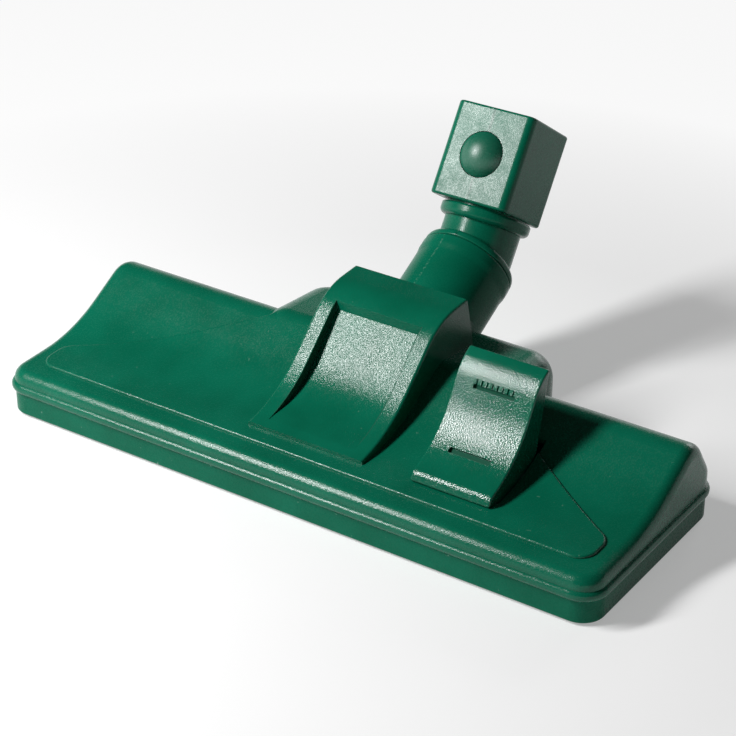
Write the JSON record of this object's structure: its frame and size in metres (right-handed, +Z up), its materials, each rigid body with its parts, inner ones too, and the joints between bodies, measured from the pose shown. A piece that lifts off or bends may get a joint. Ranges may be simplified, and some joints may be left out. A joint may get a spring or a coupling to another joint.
{
  "type": "vacuum floor brush head",
  "caption": "Wedge-shaped vacuum floor brush head with a foot pedal that drops bristle rows, a tilting tube under an arched hood and a swivel neck ending in a square plug with a snap button.",
  "frame": {"origin": "on the floor, on the sole's bridge under the middle of the head", "axes": "+X along the head to the pedal's side, +Y from the front to the back, +Z up"},
  "size_m": [0.299, 0.2015, 0.1213],
  "materials": {
    "green_plastic": "fine-grained moulded, dark green",
    "inner_plastic": "moulded, near black",
    "sole_steel": "brushed along the head",
    "spring_steel": "drawn wire and turned pins",
    "lint_pile": "short directional pile",
    "seal_rubber": "soft, matt",
    "bristle": "tufted filament",
    "wheel_rubber": "smooth, matt"
  },
  "bodies": {
    "housing": {"top_cover": "green_plastic", "base_tray": "green_plastic", "channel_insert": "inner_plastic", "joint_hood": "green_plastic", "glide_plate": "sole_steel", "front_lint_strip": "lint_pile", "rear_lint_strip": "lint_pile", "suction_duct": "inner_plastic", "joint_seal": "seal_rubber", "pedal_pin": "spring_steel", "pedal_spring": "spring_steel", "axle_left": "spring_steel", "axle_right": "spring_steel", "housing_screws": "spring_steel"},
    "pedal": {"pedal": "green_plastic"},
    "brush_carrier": {"brush_carrier": "inner_plastic", "front_bristles": "bristle", "rear_bristles_left": "bristle", "rear_bristles_right": "bristle"},
    "tilt_tube": {"tilt_tube": "green_plastic"},
    "elbow": {"swivel_elbow": "green_plastic", "retaining_ring": "spring_steel", "button_spring": "spring_steel"},
    "button": {"lock_button": "green_plastic"},
    "wheel_left": {"wheel_left": "wheel_rubber"},
    "wheel_right": {"wheel_right": "wheel_rubber"}
  },
  "joints": [
    {"name": "neck_tilt", "type": "hinge", "parent": "housing", "child": "tilt_tube", "pos_m": [0, 0.05, 0.0293], "axis": [1, 0, 0], "range_deg": [-26, 20]},
    {"name": "neck_swivel", "type": "hinge", "parent": "tilt_tube", "child": "elbow", "pos_m": [0, 0.05, 0.0293], "axis": [0, 0.8805, 0.4741], "continuous": true},
    {"name": "pedal_rock", "type": "hinge", "parent": "housing", "child": "pedal", "pos_m": [0.07065, -0.004, 0.016], "axis": [-1, 0, 0], "range_deg": [0, 11], "deforming": ["pedal_spring"]},
    {"name": "brush_drop", "type": "slide", "parent": "housing", "child": "brush_carrier", "axis": [0, 0, -1], "range_m": [0, 0.0055]},
    {"name": "button_press", "type": "slide", "parent": "elbow", "child": "button", "axis": [0, 0.8339, -0.5519], "range_m": [0, 0.0045], "stiffness_N_per_m": 300, "deforming": ["button_spring"]},
    {"name": "wheel_left_spin", "type": "hinge", "parent": "housing", "child": "wheel_left", "pos_m": [-0.104, 0.038, 0.007], "axis": [1, 0, 0], "continuous": true},
    {"name": "wheel_right_spin", "type": "hinge", "parent": "housing", "child": "wheel_right", "pos_m": [0.104, 0.038, 0.007], "axis": [1, 0, 0], "continuous": true}
  ],
  "couplings": [
    {"joint": "brush_drop", "follows": "pedal_rock", "m_per_rad": 0.0281}
  ]
}
